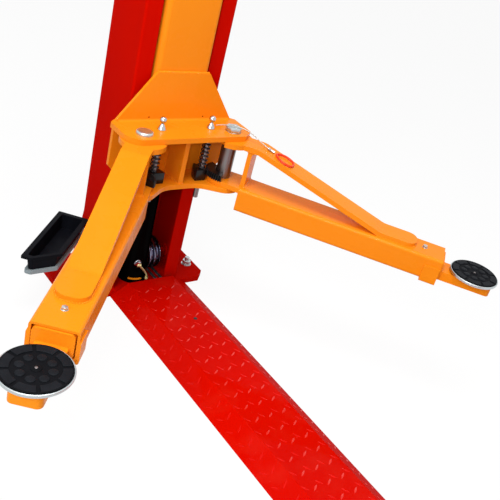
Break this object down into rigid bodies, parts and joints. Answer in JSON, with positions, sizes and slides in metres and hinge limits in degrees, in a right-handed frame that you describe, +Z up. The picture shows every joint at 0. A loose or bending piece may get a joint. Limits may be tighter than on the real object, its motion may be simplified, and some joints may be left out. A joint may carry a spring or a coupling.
{
  "type": "two post car lift",
  "caption": "Floor-plate car lift: two channel posts with sliding carriages, each with two swing arms, sliding extensions and round rubber pads, joined by a low floor cover.",
  "frame": {"origin": "on the floor, midway between the two posts", "axes": "+X along the line of posts, +Y across it towards the rear arms, +Z up"},
  "size_m": [3.36, 1.5459, 2.82],
  "materials": {
    "red_paint": "glossy enamel",
    "orange_paint": "glossy enamel",
    "black_paint": "satin black",
    "grey_paint": "satin grey",
    "steel": "ground",
    "sheave_steel": "turned",
    "spring_steel": "dark wire",
    "black_steel": "dark with bright ball",
    "wire_rope": "stranded",
    "zinc": "zinc plated",
    "chrome": "hard chrome",
    "black_plastic": "fine grain",
    "white_plastic": "smooth nylon",
    "red_plastic": "moulded",
    "pad_rubber": "studded"
  },
  "bodies": {
    "frame": {"floor_cover": "red_paint", "equalizer_cables": "wire_rope", "left_column": "red_paint", "left_base_plate": "red_paint", "left_cylinder_barrel": "black_paint", "left_tool_tray": "black_plastic", "left_tray_bracket": "grey_paint", "right_column": "red_paint", "right_base_plate": "red_paint", "right_cylinder_barrel": "black_paint", "right_tool_tray": "black_plastic", "right_tray_bracket": "grey_paint"},
    "left_carriage": {"left_carriage_mast": "orange_paint", "left_piston_rod": "chrome", "left_upper_shelf": "orange_paint", "left_lower_bracket": "orange_paint", "left_slide_blocks": "white_plastic", "left_pivot_pins": "zinc", "left_rear_lock_spring": "spring_steel", "left_front_lock_spring": "spring_steel", "release_cord_knob": "wire_rope"},
    "left_stage": {"left_cylinder_stage": "steel"},
    "left_sheave": {"left_foot_sheave": "sheave_steel"},
    "left_rear_arm": {"left_rear_arm_frame": "orange_paint", "left_rear_arm_gear": "black_paint", "release_cord_arm": "wire_rope", "release_loop": "red_plastic"},
    "left_rear_extension": {"left_rear_inner_arm": "orange_paint"},
    "left_rear_pad": {"left_rear_pad_cup": "zinc", "left_rear_pad_rubber": "pad_rubber"},
    "left_rear_lock": {"left_rear_lock_pin": "black_steel"},
    "left_front_arm": {"left_front_arm_frame": "orange_paint", "left_front_arm_gear": "black_paint"},
    "left_front_extension": {"left_front_inner_arm": "orange_paint"},
    "left_front_pad": {"left_front_pad_cup": "zinc", "left_front_pad_rubber": "pad_rubber"},
    "left_front_lock": {"left_front_lock_pin": "black_steel"},
    "right_carriage": {"right_carriage_mast": "orange_paint", "right_piston_rod": "chrome", "right_upper_shelf": "orange_paint", "right_lower_bracket": "orange_paint", "right_slide_blocks": "white_plastic", "right_pivot_pins": "zinc", "right_rear_lock_spring": "spring_steel", "right_front_lock_spring": "spring_steel"},
    "right_stage": {"right_cylinder_stage": "steel"},
    "right_sheave": {"right_foot_sheave": "sheave_steel"},
    "right_rear_arm": {"right_rear_arm_frame": "orange_paint", "right_rear_arm_gear": "black_paint"},
    "right_rear_extension": {"right_rear_inner_arm": "orange_paint"},
    "right_rear_pad": {"right_rear_pad_cup": "zinc", "right_rear_pad_rubber": "pad_rubber"},
    "right_rear_lock": {"right_rear_lock_pin": "black_steel"},
    "right_front_arm": {"right_front_arm_frame": "orange_paint", "right_front_arm_gear": "black_paint"},
    "right_front_extension": {"right_front_inner_arm": "orange_paint"},
    "right_front_pad": {"right_front_pad_cup": "zinc", "right_front_pad_rubber": "pad_rubber"},
    "right_front_lock": {"right_front_lock_pin": "black_steel"}
  },
  "joints": [
    {"name": "left_carriage_slide", "type": "slide", "parent": "frame", "child": "left_carriage", "axis": [0, 0, 1], "range_m": [-0.354, 1.386]},
    {"name": "left_stage_slide", "type": "slide", "parent": "frame", "child": "left_stage", "axis": [0, 0, 1], "range_m": [-0.177, 0.693]},
    {"name": "left_sheave_spin", "type": "hinge", "parent": "frame", "child": "left_sheave", "pos_m": [-1.542, 0.075, 0.082], "axis": [0, 1, 0], "continuous": true},
    {"name": "right_carriage_slide", "type": "slide", "parent": "frame", "child": "right_carriage", "axis": [0, 0, 1], "range_m": [-0.354, 1.386]},
    {"name": "right_stage_slide", "type": "slide", "parent": "frame", "child": "right_stage", "axis": [0, 0, 1], "range_m": [-0.177, 0.693]},
    {"name": "right_sheave_spin", "type": "hinge", "parent": "frame", "child": "right_sheave", "pos_m": [1.542, 0.075, 0.082], "axis": [0, 1, 0], "continuous": true},
    {"name": "left_rear_arm_swing", "type": "hinge", "parent": "left_carriage", "child": "left_rear_arm", "pos_m": [-1.334, 0.155, 0.643], "axis": [0, 0, 1], "range_deg": [-28, 52]},
    {"name": "left_rear_extension_slide", "type": "slide", "parent": "left_rear_arm", "child": "left_rear_extension", "axis": [0.788, 0.6157, 0], "range_m": [0, 0.35]},
    {"name": "left_rear_pad_screw", "type": "slide", "parent": "left_rear_extension", "child": "left_rear_pad", "axis": [0, 0, 1], "range_m": [0, 0.03]},
    {"name": "left_rear_lock_lift", "type": "slide", "parent": "left_carriage", "child": "left_rear_lock", "axis": [0, 0, 1], "range_m": [0, 0.042], "stiffness_N_per_m": 400, "springref_m": -0.03, "deforming": ["left_rear_lock_spring"]},
    {"name": "left_front_arm_swing", "type": "hinge", "parent": "left_carriage", "child": "left_front_arm", "pos_m": [-1.334, -0.155, 0.643], "axis": [0, 0, 1], "range_deg": [-49, 31]},
    {"name": "left_front_extension_slide", "type": "slide", "parent": "left_front_arm", "child": "left_front_extension", "axis": [0.7547, -0.6561, 0], "range_m": [0, 0.35]},
    {"name": "left_front_pad_screw", "type": "slide", "parent": "left_front_extension", "child": "left_front_pad", "axis": [0, 0, 1], "range_m": [0, 0.03]},
    {"name": "left_front_lock_lift", "type": "slide", "parent": "left_carriage", "child": "left_front_lock", "axis": [0, 0, 1], "range_m": [0, 0.042], "stiffness_N_per_m": 400, "springref_m": -0.03, "deforming": ["left_front_lock_spring"]},
    {"name": "right_rear_arm_swing", "type": "hinge", "parent": "right_carriage", "child": "right_rear_arm", "pos_m": [1.334, 0.155, 0.643], "axis": [0, 0, -1], "range_deg": [-28, 52]},
    {"name": "right_rear_extension_slide", "type": "slide", "parent": "right_rear_arm", "child": "right_rear_extension", "axis": [-0.788, 0.6157, 0], "range_m": [0, 0.35]},
    {"name": "right_rear_pad_screw", "type": "slide", "parent": "right_rear_extension", "child": "right_rear_pad", "axis": [0, 0, 1], "range_m": [0, 0.03]},
    {"name": "right_rear_lock_lift", "type": "slide", "parent": "right_carriage", "child": "right_rear_lock", "axis": [0, 0, 1], "range_m": [0, 0.042], "stiffness_N_per_m": 400, "springref_m": -0.03, "deforming": ["right_rear_lock_spring"]},
    {"name": "right_front_arm_swing", "type": "hinge", "parent": "right_carriage", "child": "right_front_arm", "pos_m": [1.334, -0.155, 0.643], "axis": [0, 0, -1], "range_deg": [-49, 31]},
    {"name": "right_front_extension_slide", "type": "slide", "parent": "right_front_arm", "child": "right_front_extension", "axis": [-0.7547, -0.6561, 0], "range_m": [0, 0.35]},
    {"name": "right_front_pad_screw", "type": "slide", "parent": "right_front_extension", "child": "right_front_pad", "axis": [0, 0, 1], "range_m": [0, 0.03]},
    {"name": "right_front_lock_lift", "type": "slide", "parent": "right_carriage", "child": "right_front_lock", "axis": [0, 0, 1], "range_m": [0, 0.042], "stiffness_N_per_m": 400, "springref_m": -0.03, "deforming": ["right_front_lock_spring"]}
  ],
  "couplings": [
    {"joint": "right_carriage_slide", "follows": "left_carriage_slide", "ratio": 1},
    {"joint": "left_stage_slide", "follows": "left_carriage_slide", "ratio": 0.5},
    {"joint": "right_stage_slide", "follows": "left_carriage_slide", "ratio": 0.5}
  ]
}
